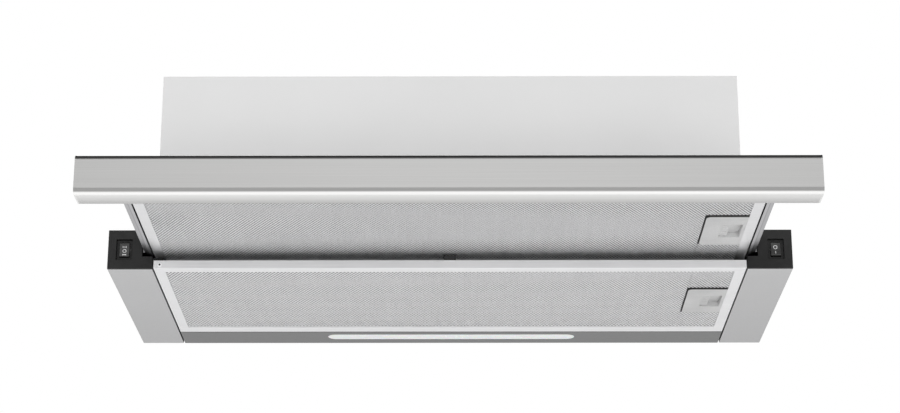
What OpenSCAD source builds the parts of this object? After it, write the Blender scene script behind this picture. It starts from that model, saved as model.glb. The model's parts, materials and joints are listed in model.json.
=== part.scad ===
// Pull out range hood: a slim body with a drawer that slides out from under the
// motor box, a front bar on the drawer, one grease filter in the drawer and one
// that drops from the body. Millimetres, Z up, underside at Z = 0, front towards
// -Y, drawn with the drawer fully out.

/* [Body] */
// Overall width, across the side covers and along the front bar
body_w = 598; // [560:1:898]
// Depth of the body behind its front face
body_d = 236; // [234:1:300]
// Width of the wing on each side of the upper motor box
wing_w = 41; // [29:0.5:54]
// Height of the motor box's top above the underside
box_top = 183; // [181:1:240]
// How far the motor box stands behind the body's front face
box_setback = 4; // [2:0.5:12]
// Width of the turned-in flange round the foot of the motor box
box_flange = 10; // [8:0.5:16]
// Thickness of the sheet steel
sheet_t = 1; // [0.8:0.1:1.4]
// Depth of the turned-down flanges along the chassis
chassis_flange_h = 14; // [8:1:20]
// How far the chassis drops under the foot of the motor box
foot_drop = 0.5; // [0.3:0.1:0.7]

/* [Side covers] */
// Width of each side cover's underside
cover_w = 39.3; // [39:0.1:55]
// Height of the lip along each cover's inner edge
cover_lip_h = 10.4; // [10:0.1:13]
// Gap between a cover's inner edge and the rear filter
edge_gap = 1.2; // [1.1:0.1:3]

/* [Switch boxes] */
// Thickness of the front plate
switch_plate_t = 2.5; // [2:0.1:4]
// Depth of the box behind the front face
switch_box_d = 32; // [28:1:45]
// Wall of the box behind its front plate
switch_wall = 1.6; // [1.2:0.1:2.2]
// Width of the recess round a rocker
recess_w = 14; // [12.5:0.1:15]
// Height of the recess round a rocker
recess_h = 18.6; // [17:0.1:20]
// Depth of the recess round a rocker
recess_d = 2.4; // [1.8:0.1:3]
// From the outer side face to the middle of the recess
recess_inset = 14.3; // [13:0.1:17]
// Height of the middle of the recess above the underside
recess_z = 17.9; // [16:0.1:19]

/* [Rockers] */
// Width of a rocker
rocker_w = 8.4; // [7:0.1:9]
// Height of a rocker
rocker_h = 12.4; // [10:0.1:13]
// How far the rocker's ends stand in front of its middle
rocker_dish = 1.2; // [0.6:0.1:1.6]
// Tilt to each side, in degrees
rocker_tilt = 10; // [6:1:12]
// Radius of the rocker's pivot pins
rocker_pin_r = 1; // [0.8:0.1:1.4]

/* [Front bar] */
// Depth of the bar, front to back
bar_d = 25.5; // [20:0.5:40]
// Height of the bar
bar_h = 33; // [30:0.5:45]
// Height of the bar's underside above the body's underside
bar_z = 5; // [3:0.5:7]
// Radius of the bar's upper front edge
bar_round_top = 4; // [2:0.5:8]
// Radius of the bar's lower front edge
bar_round_low = 5; // [2:0.5:8]
// Thickness of the stainless sheet
bar_t = 1; // [0.8:0.1:1.5]
// Thickness of the bar's end caps
bar_cap_t = 1.2; // [1:0.1:3]
// Gap between the bar and the switch boxes with the drawer shut
bar_gap = 0.8; // [0.5:0.1:3]

/* [Drawer] */
// How far the drawer pulls out
stroke = 155; // [120:1:156]
// Room behind the drawer rails with the drawer shut, up to the drawer switch
rail_rear_gap = 3.6; // [2:0.1:8]
// Width of a drawer rail
rail_w = 6.4; // [5.4:0.1:7]
// Height of a drawer rail
rail_h = 18.5; // [17.5:0.1:22]
// Wall of a drawer rail
rail_t = 1.2; // [1:0.1:1.3]
// From a side cover's inner edge out to the drawer rail's outer face
rail_offset = 6.3; // [6:0.1:10]
// Gap between a side cover's lip and the drawer rail above it
rail_under = 2.1; // [1:0.1:4]
// Gap between the drawer's top sheet and the chassis above it
head_gap = 2.6; // [1.6:0.1:5]
// Length of a nylon glide
glide_l = 16; // [10:1:20]
// Thickness of the guide rail
guide_t = 1.2; // [1:0.1:1.5]
// Thickness of the tongue that the glides straddle
tongue_t = 2; // [1.4:0.1:2.6]
// Clearance round everything that slides
run_gap = 0.3; // [0.2:0.05:0.4]

/* [Filters] */
// Thickness of a filter
filter_t = 7.6; // [7.4:0.1:9]
// Thickness of the filter frame's aluminium
filter_sheet = 1; // [0.8:0.1:1.2]
// Radius of the filter frame's lower side edges
filter_round = 0.6; // [0.6:0.1:2]
// Radius of the filter frame's lower front and rear edges
filter_lip_round = 1; // [0.5:0.1:2]
// Length of the drawer's filter, front to back
front_filter_l = 181; // [140:1:183]
// Side and end border of the drawer's filter
front_border = 9.2; // [7:0.1:12]
// Gap between the drawer rail and the drawer's filter
filter_gap = 0.9; // [0.5:0.1:2]
// Side border of the rear filter
rear_side_border = 9.4; // [8:0.1:12]
// Front border of the rear filter
rear_front_border = 9.4; // [7:0.1:14]
// Back border of the rear filter
rear_back_border = 15.5; // [10:0.5:20]
// Thickness of the perforated sheet
mesh_t = 0.6; // [0.4:0.1:0.8]
// Width of one pleat of the grease mesh
pleat_w = 12; // [8:1:20]
// Thickness of the grease mesh
pleat_t = 0.5; // [0.4:0.1:0.8]

/* [Latches] */
// Length of a latch plate
latch_l = 72; // [56:1:74]
// Width of a latch plate
latch_w = 35.1; // [32:0.1:42]
// How far the drawer's latch stands behind the middle of its filter
front_latch_shift = 3.5; // [0:0.5:6]
// Corner radius of a latch plate
latch_round = 4; // [1:0.5:8]
// Length of the finger well
well_l = 33; // [26:1:36]
// Width of the finger well
well_w = 17.6; // [15:0.1:18]
// Width of the slider's grip
grip_w = 7; // [5:0.1:8]
// Width of the latch tongue
tongue_w = 20; // [12:1:24]
// How far the tongue reaches past the wall that it latches in
tongue_reach = 1.4; // [0.8:0.1:1.5]
// Radius of the latch spring
spring_r = 1.8; // [1.4:0.1:2]
// Radius of the latch spring's wire
spring_wire_r = 0.3; // [0.2:0.05:0.4]

/* [Rear filter hinge] */
// Height of the hinge pins above the underside
hinge_z = 3.8; // [3.8:0.1:4.1]
// From the filter's left edge to the hinge pins
hinge_inset = 5.3; // [5.2:0.1:5.6]
// Radius of the hinge pins
hinge_pin_r = 1.5; // [1:0.1:1.6]
// Thickness of the fixed lugs
lug_t = 3; // [2:0.5:4]

/* [Light and rear panel] */
// Depth of the rear panel
panel_d = 37.7; // [36:0.1:45]
// Length of the light's window
window_l = 237; // [120:1:260]
// Width of the light's window
window_w = 16.6; // [12:0.1:18]
// From the panel's front edge to the middle of the window
window_inset = 17; // [16:0.5:18]

/* [Blower] */
// Radius of the impeller
fan_r = 50; // [46:1:50]
// Width of the impeller
fan_w = 88; // [70:1:90]
// Number of impeller blades
fan_blades = 30; // [20:1:40]
// Inner radius of the scroll at its tongue
scroll_min = 53; // [53:0.5:55]
// Inner radius of the scroll where it meets the duct
scroll_max = 72; // [68:1:73]
// Wall of the scroll casing
casing_t = 1.5; // [1.2:0.1:2]
// From the impeller's shaft to the body's rear face
fan_inset = 118; // [118:1:124]
// Radius of the motor
motor_r = 31; // [26:1:33]
// Radius of the motor shaft
shaft_r = 4; // [3:0.5:5]

/* [Outlet] */
// Outside diameter of the outlet collar
spigot_d = 120; // [118:1:124]
// Height of the outlet collar above its flange
spigot_h = 38; // [30:1:60]
// Wall of the collar
spigot_wall = 2; // [1.5:0.1:2.5]
// Thickness of a flap
flap_t = 1.2; // [1:0.1:1.6]

/* [Fixings] */
// Radius of the cabinet screw holes
cabinet_hole_r = 2.5; // [2:0.1:3]
// Front to back distance between the cabinet screw holes
cabinet_hole_pitch = 150; // [100:1:160]
// From the outer side face to the cabinet screw holes
cabinet_hole_inset = 13; // [10:0.5:14]
// Radius of a screw's shank
screw_r = 2; // [1.5:0.1:2.2]
// Radius of a screw's head
screw_head_r = 3.4; // [3:0.1:3.6]

/* [Hidden] */
$fn = 48;

eps = 0.01;
side_x = body_w / 2;
cover_x = side_x - cover_w;
rail_x = cover_x + rail_offset;
rail_in_x = rail_x - rail_w;
guide_gap = 1.1;
guide_x = rail_x + guide_gap;
notch_x = guide_x + guide_t + 0.4;
notch_z = cover_lip_h + 1;
rail_z = cover_lip_h + rail_under;
rail_top = rail_z + rail_h;
chassis_z = rail_top + sheet_t + head_gap;
wing_h = chassis_z + sheet_t;
foot_z = wing_h - foot_drop;
foot_margin = 1;
bar_back_y = -(stroke + bar_gap);
bar_front_y = bar_back_y - bar_d;
origin_y = (bar_front_y + body_d) / 2;
probe_d = 6.4;
rail_rear_y = body_d - sheet_t - probe_d - rail_rear_gap - stroke;
rail_groove = 2.6;
rail_step = 1.2;
rail_lip_h = 3;
rail_plate_t = 2;
bar_screw_r = 1.6;
tongue_z = rail_z + 7.5;
guide_y = 3;
guide_rear_gap = 11;
guide_flange_w = 11;
stop_t = 1.2;

front_filter_hw = rail_in_x - filter_gap;
front_filter_z = rail_z + 0.5;
front_filter_y = bar_back_y + run_gap;
rear_filter_hw = cover_x - edge_gap;
panel_y = body_d - panel_d;
panel_gap = 0.8;
rear_filter_l = panel_y - panel_gap;
filter_tab_l = 12;
filter_tab_z = front_filter_z + 4;
filter_tab_t = 1.6;
filter_tab_reach = filter_gap + rail_t + 0.9;
mesh_lap = 2;
core_lap = 0.5;
top_flange = 6;
hinge_x = -rear_filter_hw + hinge_inset;
lug_r = hinge_pin_r + 1.1;
lug_y = 2.2;
lug_swing_gap = 0.4;
pin_head_r = 2.1;
pin_head_t = 0.5;
pin_play = 0.06;

lens_recess = 0.2;
lens_wall_h = 4;
led_pitch = 11;
driver_l = 70;
driver_h = 20;
driver_inset = 47;
driver_port_inset = 10;
driver_port_h = 17;

latch_wall = 1.2;
latch_face = 0.1;
grip_z = latch_face + latch_wall + run_gap;
slide_t = 1.3;
slide_z = filter_t - latch_wall - run_gap - slide_t;
well_inset = 2.8;
front_latch_y = front_filter_l / 2 + front_latch_shift;
rear_latch_y = rear_filter_l / 2;
spring_turns = 6;

box_x = side_x - wing_w;
box_in_top = box_top - sheet_t;
tongue_angle = 70;
duct_y0 = scroll_min * cos(tongue_angle);
duct_y1 = scroll_max;
casing_x = fan_w / 2 + 4;
casing_gap = 2.5;
fan_y = body_d - fan_inset;
casing_flange = 53;
fan_z = foot_z + sheet_t + casing_gap + casing_t
  + scroll_min + (scroll_max - scroll_min) * (270 - tongue_angle) / (360 - tongue_angle);
spigot_y = fan_y + (duct_y0 + duct_y1) / 2;
inlet_r = fan_r - 6;
motor_x0 = -(casing_x + 14);
motor_x1 = -6;
motor_wall = 2;
rotor_r = 14.7;
stator_gap = 0.3;
rotor_inset = 14;
shaft_tail = 4;
shaft_nose = 16;
hub_r = 9;
hub_tail = 3;
hub_nose = 12;
bracket_t = 2;
outlet_r = spigot_d / 2 - spigot_wall - 1;
flange_r = spigot_d / 2 + 11;
flange_t = 2;
flap_z = box_top + 13;
flap_pin_r = 1.5;
knuckle_r = 2.6;
flap_r = outlet_r;
seat_w = 4;
spigot_screw_r = spigot_d / 2 + 6;

tb_w = 65;
tb_d = 50;
tb_h = 30;
tb_wall = 2;
tb_x = box_x - sheet_t - 12 - tb_w;
tb_y = body_d - sheet_t - 12 - tb_d;
gland_r = 8;
gland_bore_r = 4.2;
gland_tail = 8;
gland_nut_h = 5;
gland_body_h = 14;
gland_dome_h = 5;
cap_r = 17;
cap_l = 60;
cap_stud_r = 4;
cap_stud_h = 8;
cap_x = -box_x + 68;
cap_y = box_setback + 56;
loom_r = 3;
loom_clip_hw = 4;
loom_clip_tb = 30;
loom_clip_end = 12;
loom_y = body_d - 26.5;
loom_z = box_in_top - loom_r - 4;
loom_x = motor_x0 - 14;
loom_end_y = fan_y + 20;

recess_x = side_x - recess_inset;
switch_body_d = 16;
bezel_t = 1.6;
rocker_y = recess_d + bezel_t / 2;
rocker_back = 4;
rocker_front = 1.5;
tab_l = 7;
tab_w = 3.2;
tab_t = 0.8;
tab_pitch = 5;
probe_w = 20;
probe_h = 10;
probe_z = tongue_z + tongue_t + 4;
probe_x = rail_x - 2.4;
plunger_r = 1.1;
probe_gap = 0.4;
screw_l = 4;
screw_head_h = 2;
pad_w = 10.6;
pad_d = 8;

// Puts the drawn part on its origin: under the middle of its whole depth.
module place() {
  translate([0, -origin_y, 0]) children();
}

// Runs a Y-Z outline along X.
module along_x(x0, x1) {
  translate([x0, 0, 0]) rotate([90, 0, 90]) linear_extrude(x1 - x0) children();
}

// Runs an X-Z outline along Y.
module along_y(y0, y1) {
  translate([0, y1, 0]) rotate([90, 0, 0]) linear_extrude(y1 - y0) children();
}

module both_sides() {
  children();
  mirror([1, 0, 0]) children();
}

module box(low, high) {
  translate(low) cube(high - low);
}

module rod_x(x0, x1, r) {
  along_x(x0, x1) circle(r);
}

module rod_y(y0, y1, r) {
  along_y(y0, y1) circle(r);
}

// A pan head screw along +Z: its head's seat is at Z = 0 and its shank below.
module screw() {
  difference() {
    union() {
      cylinder(h = screw_head_h, r = screw_head_r);
      translate([0, 0, -screw_l]) cylinder(h = screw_l, r = screw_r);
    }
    translate([-screw_head_r, -0.4, 1]) cube([2 * screw_head_r, 0.8, screw_head_h]);
    translate([-0.4, -screw_head_r, 1]) cube([0.8, 2 * screw_head_r, screw_head_h]);
  }
}

// ---- Body ----

function spigot_screws() = [for (sx = [-1, 1], sy = [-1, 1])
  [sx * spigot_screw_r * cos(45), spigot_y + sy * spigot_screw_r * sin(45)]];

function chassis_screws() = [for (sx = [-1, 1], y = [box_setback + 30, fan_y, body_d - 30])
  [sx * (box_x - sheet_t - box_flange / 2), y]];

function guide_screws() = [for (sx = [-1, 1], y = [40, body_d - 60])
  [sx * (guide_x + guide_t + guide_flange_w / 2), y]];

function cabinet_holes() = [for (sx = [-1, 1], sy = [-1, 1])
  [sx * (side_x - cabinet_hole_inset), (body_d + sy * cabinet_hole_pitch) / 2]];

// The ring that the motor box's foot flange and the chassis share.
module foot_opening(z0, z1) {
  box([-(box_x - box_flange), box_setback + box_flange, z0],
      [box_x - box_flange, body_d - box_flange, z1]);
}

module motor_box() {
  color("gainsboro") difference() {
    box([-box_x, box_setback, foot_z], [box_x, body_d, box_top]);
    box([-(box_x - sheet_t), box_setback + sheet_t, foot_z + sheet_t],
        [box_x - sheet_t, body_d - sheet_t, box_in_top]);
    foot_opening(foot_z - 1, foot_z + 2 * sheet_t);
    translate([0, spigot_y, box_in_top - 1]) cylinder(h = 4, r = outlet_r);
    translate([tb_x + tb_w / 2, tb_y + tb_d / 2, box_in_top - 1]) cylinder(h = 4, r = gland_r);
    translate([cap_x, cap_y, box_in_top - 1]) cylinder(h = 4, r = cap_stud_r);
    for (p = spigot_screws()) translate([p.x, p.y, box_in_top - 1]) cylinder(h = 4, r = screw_r);
    for (p = chassis_screws()) translate([p.x, p.y, foot_z - 1]) cylinder(h = 4, r = screw_r);
  }
}

// Two wings with a turned-down flange, and a lower seat between them for the box.
module chassis_frame() {
  wing_x = box_x + foot_margin;
  color("gainsboro") difference() {
    union() {
      both_sides() {
        box([wing_x, switch_plate_t, chassis_z], [side_x, body_d, wing_h]);
        box([wing_x, 0, chassis_z], [notch_x, switch_plate_t + eps, wing_h]);
        box([side_x - 2 * sheet_t, switch_box_d + 1, chassis_z - chassis_flange_h],
            [side_x - sheet_t, body_d - 2 * sheet_t, chassis_z + eps]);
      }
      box([-wing_x - sheet_t, 0, chassis_z - foot_drop],
          [wing_x + sheet_t, body_d - sheet_t, foot_z]);
    }
    foot_opening(chassis_z - foot_drop - 1, wing_h + 1);
    for (p = cabinet_holes())
      translate([p.x, p.y, chassis_z - 1]) cylinder(h = 4, r = cabinet_hole_r);
    for (p = concat(chassis_screws(), guide_screws()))
      translate([p.x, p.y, chassis_z - 1]) cylinder(h = 4, r = screw_r);
  }
}

// A folded trough: underside, inner lip, outer wall and rear wall.
module side_cover() {
  difference() {
    union() {
      along_y(switch_plate_t, body_d) difference() {
        translate([cover_x, 0]) square([cover_w, chassis_z]);
        translate([cover_x + sheet_t, sheet_t]) square([cover_w - 2 * sheet_t, chassis_z]);
        translate([cover_x - 1, cover_lip_h]) square([2 * sheet_t + 1, chassis_z]);
      }
      box([cover_x, body_d - sheet_t, 0], [side_x, body_d, chassis_z]);
    }
    children();
  }
}

module side_cover_left() {
  color("silver") mirror([1, 0, 0]) side_cover();
}

module side_cover_right() {
  y0 = rear_latch_y - tongue_w / 2 - run_gap;
  color("silver") side_cover()
    box([cover_x - 1, y0, slide_z - run_gap],
        [cover_x + sheet_t + 1, y0 + tongue_w + 2 * run_gap, slide_z + slide_t + run_gap]);
}

// The outline of a switch box seen from the front, inset by w.
module switch_outline(w) {
  polygon([
    [cover_x + w, w], [side_x - w, w], [side_x - w, wing_h - w],
    [notch_x + w, wing_h - w], [notch_x + w, notch_z - w], [cover_x + w, notch_z - w]
  ]);
}

module switch_box() {
  fit = sheet_t + 0.2;
  top = chassis_z - guide_t - 0.2;
  difference() {
    union() {
      along_y(0, switch_plate_t) switch_outline(0);
      intersection() {
        along_y(0, switch_box_d) switch_outline(fit);
        box([0, 0, 0], [side_x, body_d, top]);
      }
    }
    along_y(recess_d + bezel_t + switch_wall, switch_box_d + 1) intersection() {
      switch_outline(fit + switch_wall);
      translate([notch_x + switch_wall, 0]) square([cover_w, top - switch_wall]);
    }
    translate([recess_x, 0, recess_z]) {
      along_y(-1, recess_d + bezel_t) square([recess_w, recess_h], center = true);
      along_y(0, switch_box_d) square([recess_w - 1.6, recess_h - 2], center = true);
    }
  }
}

module switch_box_left() {
  color("#333333") mirror([1, 0, 0]) switch_box();
}

module switch_box_right() {
  color("#333333") switch_box();
}

// The bezel and case of a rocker switch, open at the front for its rocker.
module switch_body() {
  play = 0.25;
  window_h = rocker_h / cos(rocker_tilt) + 2 * play;
  reach = rocker_back + 1.2;
  translate([recess_x, 0, recess_z]) difference() {
    union() {
      along_y(recess_d, recess_d + bezel_t) square([recess_w - 0.2, recess_h - 0.2], center = true);
      along_y(recess_d, recess_d + bezel_t + switch_body_d)
        square([recess_w - 1.8, recess_h - 2.2], center = true);
    }
    along_y(recess_d - 1, rocker_y + reach)
      square([rocker_w + 2 * play, window_h + 0.6], center = true);
    translate([0, rocker_y, 0])
      rod_x(-(rocker_w / 2 + 1.2), rocker_w / 2 + 1.2, rocker_pin_r + pin_play);
  }
}

module speed_switch_body() {
  color("#2a2a2a") mirror([1, 0, 0]) switch_body();
}

module light_switch_body() {
  color("#2a2a2a") switch_body();
}

module tab() {
  box([-tab_w / 2, 0, -tab_t / 2], [tab_w / 2, tab_l, tab_t / 2]);
}

module switch_tabs() {
  back = recess_d + bezel_t + switch_body_d;
  color("goldenrod") {
    for (i = [-1, 0, 1]) translate([-recess_x, back, recess_z + i * tab_pitch]) tab();
    for (i = [-0.8, 0.8]) translate([recess_x, back, recess_z + i * tab_pitch]) tab();
  }
}

// A rocker about its pivot, with two flats that dish towards the middle.
module rocker() {
  half = rocker_h / 2;
  along_x(-rocker_w / 2, rocker_w / 2) polygon([
    [-rocker_front, 0], [-rocker_front - rocker_dish, half - 0.6],
    [-rocker_front - rocker_dish + 0.6, half], [1, half], [rocker_back, half - 2],
    [rocker_back, -half + 2], [1, -half], [-rocker_front - rocker_dish + 0.6, -half],
    [-rocker_front - rocker_dish, -half + 0.6]
  ]);
  rod_x(-(rocker_w / 2 + 1), rocker_w / 2 + 1, rocker_pin_r);
}

module speed_rocker() {
  color("#2f2f2f") translate([-recess_x, rocker_y, recess_z]) rocker();
}

module light_rocker() {
  color("#2f2f2f") translate([recess_x, rocker_y, recess_z]) rotate([-rocker_tilt, 0, 0]) rocker();
}

// A fixed rail: a flange screwed under the chassis, a web and an inward tongue.
module guide_rail() {
  y1 = body_d - guide_rear_gap;
  difference() {
    union() {
      along_y(guide_y, y1) union() {
        translate([guide_x, rail_z + 3.5])
          square([guide_t, chassis_z - rail_z - 3.5]);
        translate([guide_x, chassis_z - guide_t]) square([guide_t + guide_flange_w, guide_t]);
        translate([rail_in_x + rail_t + 1.4, tongue_z])
          square([guide_x + guide_t - rail_in_x - rail_t - 1.4, tongue_t]);
      }
      box([rail_in_x + rail_t + 1.4, guide_y, tongue_z],
          [guide_x + guide_t, guide_y + stop_t, tongue_z + tongue_t + 3]);
    }
    for (p = guide_screws()) translate([p.x, p.y, chassis_z - 3]) cylinder(h = 4, r = screw_r);
  }
}

module guide_rail_left() {
  color("lightslategray") mirror([1, 0, 0]) guide_rail();
}

module guide_rail_right() {
  color("lightslategray") guide_rail();
}

// The light's window, grown by w: a slot with round ends.
module window_outline(w) {
  end_x = (window_l - window_w) / 2;
  square([2 * end_x, window_w + 2 * w], center = true);
  for (s = [-1, 1]) translate([s * end_x, 0]) circle(window_w / 2 + w);
}

module rear_panel() {
  hw = cover_x - edge_gap;
  color("dimgray") difference() {
    union() {
      box([-hw, panel_y, 0], [hw, body_d, sheet_t]);
      box([-hw, panel_y, 0], [hw, panel_y + sheet_t, filter_t]);
      box([-hw, body_d - sheet_t, 0], [hw, body_d, chassis_z]);
    }
    translate([0, panel_y + window_inset, -1]) linear_extrude(4) window_outline(0);
  }
}

module light_lens() {
  color("white") translate([0, panel_y + window_inset, 0]) difference() {
    union() {
      translate([0, 0, lens_recess]) linear_extrude(lens_wall_h) window_outline(-0.2);
      translate([0, 0, sheet_t]) linear_extrude(sheet_t) window_outline(2);
    }
    translate([0, 0, lens_recess + 1.4]) linear_extrude(lens_wall_h) window_outline(-1.6);
  }
}

module led_board() {
  z0 = lens_recess + lens_wall_h;
  count = floor((window_l - window_w - 10) / led_pitch / 2);
  color("ivory") translate([0, panel_y + window_inset, 0]) {
    box([-(window_l - window_w) / 2, -(window_w / 2 - 0.4), z0],
        [(window_l - window_w) / 2, window_w / 2 - 0.4, z0 + 1.2]);
    for (i = [-count : count]) translate([i * led_pitch, 0, z0])
      box([-1.75, -1.4, -0.7], [1.75, 1.4, eps]);
  }
}

module led_driver() {
  x1 = cover_x - driver_inset;
  color("whitesmoke") difference() {
    box([x1 - driver_l, panel_y + 5, sheet_t], [x1, body_d - 7, sheet_t + driver_h]);
    for (x = [x1 - driver_l + driver_port_inset, x1 - driver_port_inset])
      translate([x, panel_y + 7, sheet_t + 4]) box([-2.5, -3, 0], [2.5, 0, driver_port_h]);
  }
}

module hinge_lug(y0) {
  along_y(y0, y0 + lug_t) difference() {
    union() {
      translate([hinge_x, hinge_z]) circle(lug_r);
      translate([hinge_x - lug_r, hinge_z]) square([2 * lug_r, cover_lip_h - hinge_z]);
      translate([-cover_x, filter_t + 0.9])
        square([cover_x + hinge_x, cover_lip_h - filter_t - 0.9]);
    }
    translate([hinge_x, hinge_z]) circle(hinge_pin_r + pin_play);
  }
}

module hinge_lugs() {
  color("#2a2a2a") {
    hinge_lug(lug_y);
    hinge_lug(rear_filter_l - lug_y - lug_t);
  }
}

// ---- Blower ----

// The scroll's inner outline, grown by w: a spiral from the tongue round to the duct.
function scroll_r(a) =
  scroll_min + (scroll_max - scroll_min) * (a - tongue_angle) / (360 - tongue_angle);

module scroll_outline(w, top) {
  polygon([for (a = [tongue_angle : 10 : 360]) (scroll_r(a) + w) * [cos(a), sin(a)]]);
  translate([duct_y0 - w, 0]) square([duct_y1 - duct_y0 + 2 * w, top]);
}

module casing_half() {
  top = box_in_top - fan_z;
  difference() {
    translate([0, fan_y, fan_z]) difference() {
      union() {
        along_x(0, casing_x) scroll_outline(casing_t, top);
        along_x(0, casing_flange) translate([spigot_y - fan_y - casing_flange, top - casing_t])
          square([2 * casing_flange, casing_t]);
      }
      along_x(-1, casing_x - casing_t) scroll_outline(0, top + 1);
      rod_x(0, casing_x + 1, inlet_r);
    }
    for (p = spigot_screws()) translate([p.x, p.y, box_in_top - 4]) cylinder(h = 6, r = screw_r + 0.3);
  }
}

module fan_casing_left() {
  color("lightsteelblue") mirror([1, 0, 0]) casing_half();
}

module fan_casing_right() {
  color("lightsteelblue") casing_half();
}

// A ring bolted round the left inlet with three arms to a collar on the motor.
module motor_bracket() {
  color("slategray") translate([0, fan_y, fan_z])
    along_x(-casing_x - bracket_t, -casing_x) difference() {
      union() {
        difference() {
          circle(inlet_r + 7);
          circle(inlet_r + 0.5);
        }
        circle(motor_r + 3);
        for (a = [90, 210, 330]) rotate(a) translate([motor_r, -4]) square([inlet_r + 3 - motor_r, 8]);
      }
      circle(motor_r);
    }
}

module motor_can() {
  color("darkgray") translate([0, fan_y, fan_z]) difference() {
    rod_x(motor_x0, motor_x1, motor_r);
    difference() {
      rod_x(motor_x0 + motor_wall, motor_x1 - motor_wall, motor_r - motor_wall);
      rod_x(motor_x0, motor_x0 + 8, hub_r);
      rod_x(motor_x1 - 8, motor_x1, hub_r);
    }
    rod_x(motor_x0 - 1, motor_x1 + 1, shaft_r + pin_play);
  }
}

module motor_stator() {
  color("firebrick") translate([0, fan_y, fan_z]) difference() {
    rod_x(motor_x0 + 12, motor_x1 - 12, motor_r - motor_wall);
    rod_x(motor_x0, motor_x1, rotor_r + stator_gap);
  }
}

module motor_rotor() {
  color("silver") translate([0, fan_y, fan_z]) {
    rod_x(motor_x0 - shaft_tail, shaft_nose, shaft_r);
    rod_x(motor_x0 + rotor_inset, motor_x1 - rotor_inset, rotor_r);
  }
}

module impeller() {
  inner = fan_r - 10;
  half = fan_w / 2;
  color("white") translate([0, fan_y, fan_z]) difference() {
    union() {
      along_x(-half + 1, half - 1)
        for (i = [0 : fan_blades - 1]) rotate(i * 360 / fan_blades)
          polygon([[inner + 0.6, -3], [inner + 1.6, -3.6], [fan_r - 0.6, 2], [fan_r - 1.6, 2.6]]);
      for (x = [-half, half - 2]) difference() {
        rod_x(x, x + 2, fan_r);
        rod_x(x - 1, x + 3, inner);
      }
      rod_x(-1, 1, fan_r);
      rod_x(-hub_tail, hub_nose, hub_r);
    }
    rod_x(-half, half, shaft_r);
  }
}

module capacitor() {
  color("lightgray") translate([cap_x, cap_y, 0]) {
    translate([0, 0, box_in_top - cap_l]) cylinder(h = cap_l, r = cap_r);
    translate([0, 0, box_in_top - eps]) cylinder(h = cap_stud_h, r = cap_stud_r);
  }
}

module terminal_box() {
  color("#dddddd") difference() {
    box([tb_x, tb_y, box_in_top - tb_h], [tb_x + tb_w, tb_y + tb_d, box_in_top]);
    box([tb_x + tb_wall, tb_y + tb_wall, box_in_top - tb_h - 1],
        [tb_x + tb_w - tb_wall, tb_y + tb_d - tb_wall, box_in_top - tb_wall]);
    translate([tb_x + tb_w / 2, tb_y + tb_d / 2, box_in_top - 4]) cylinder(h = 6, r = gland_r);
  }
}

module terminal_box_lid() {
  z1 = box_in_top - tb_h;
  color("#cccccc") {
    box([tb_x, tb_y, z1 - tb_wall], [tb_x + tb_w, tb_y + tb_d, z1]);
    box([tb_x + tb_wall + 0.2, tb_y + tb_wall + 0.2, z1 - eps],
        [tb_x + tb_w - tb_wall - 0.2, tb_y + tb_d - tb_wall - 0.2, z1 + 2]);
  }
}

module cable_gland() {
  foot = box_in_top - tb_wall - gland_tail;
  color("#444444") translate([tb_x + tb_w / 2, tb_y + tb_d / 2, 0]) difference() {
    union() {
      translate([0, 0, foot]) cylinder(h = box_top - foot, r = gland_r);
      translate([0, 0, box_top]) cylinder(h = gland_nut_h, r = gland_r + 4, $fn = 6);
      translate([0, 0, box_top]) cylinder(h = gland_body_h, r = gland_r + 1);
      translate([0, 0, box_top + gland_body_h]) rotate_extrude()
        polygon([[0, -eps], [gland_r + 1, -eps], [gland_r - 1, gland_dome_h], [0, gland_dome_h]]);
    }
    translate([0, 0, foot - 1])
      cylinder(h = box_top + gland_body_h + gland_dome_h - foot + 2, r = gland_bore_r);
  }
}

// The inner wiring: one sleeve from the terminal box along the roof to the motor.
module wiring_loom() {
  color("#555555") {
    rod_loom([tb_x, loom_y, loom_z], [loom_x, loom_y, loom_z]);
    rod_loom([loom_x, loom_y, loom_z], [loom_x, loom_y, fan_z]);
    rod_loom([loom_x, loom_y, fan_z], [loom_x, loom_end_y, fan_z]);
    rod_loom([loom_x, loom_end_y, fan_z], [motor_x0, loom_end_y, fan_z]);
    for (p = [[loom_x, loom_y, loom_z], [loom_x, loom_y, fan_z], [loom_x, loom_end_y, fan_z]])
      translate(p) sphere(loom_r);
    for (x = [tb_x - loom_clip_tb, loom_x + loom_clip_end])
      box([x - loom_clip_hw, loom_y - loom_clip_hw, loom_z],
          [x + loom_clip_hw, loom_y + loom_clip_hw, box_in_top]);
  }
}

// One straight run of the sleeve, along an axis of the body.
module rod_loom(from, to) {
  run = to - from;
  turn = run.x != 0 ? [0, run.x > 0 ? 90 : -90, 0]
    : run.y != 0 ? [run.y > 0 ? -90 : 90, 0, 0]
    : [180, 0, 0];
  translate(from) rotate(turn) cylinder(h = norm(run), r = loom_r);
}

// ---- Outlet ----

module outlet_spigot() {
  outer = spigot_d / 2;
  inner = outer - spigot_wall;
  color("#3c3c3c") translate([0, spigot_y, box_top]) difference() {
    union() {
      cylinder(h = flange_t, r = flange_r);
      cylinder(h = flange_t + spigot_h, r = outer);
    }
    difference() {
      translate([0, 0, -1]) cylinder(h = spigot_h + 9, r = inner);
      difference() {
        translate([0, 0, flap_z - box_top - flap_t / 2 - run_gap - 1]) cylinder(h = 1, r = inner);
        cylinder(h = spigot_h, r = inner - seat_w);
      }
      translate([0, 0, flap_z - box_top]) intersection() {
        cylinder(h = 20, r = inner, center = true);
        union() {
          rod_x(inner - 5, inner, 3.4);
          rod_x(-inner, -inner + 5, 3.4);
        }
      }
    }
    translate([0, 0, flap_z - box_top]) rod_x(-(inner - 1), inner - 1, flap_pin_r);
    for (p = spigot_screws()) translate([p.x, p.y - spigot_y, -1]) cylinder(h = 5, r = screw_r);
  }
}

module flap_pin() {
  color("silver") translate([0, spigot_y, flap_z]) rod_x(-outlet_r, outlet_r, flap_pin_r);
}

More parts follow.
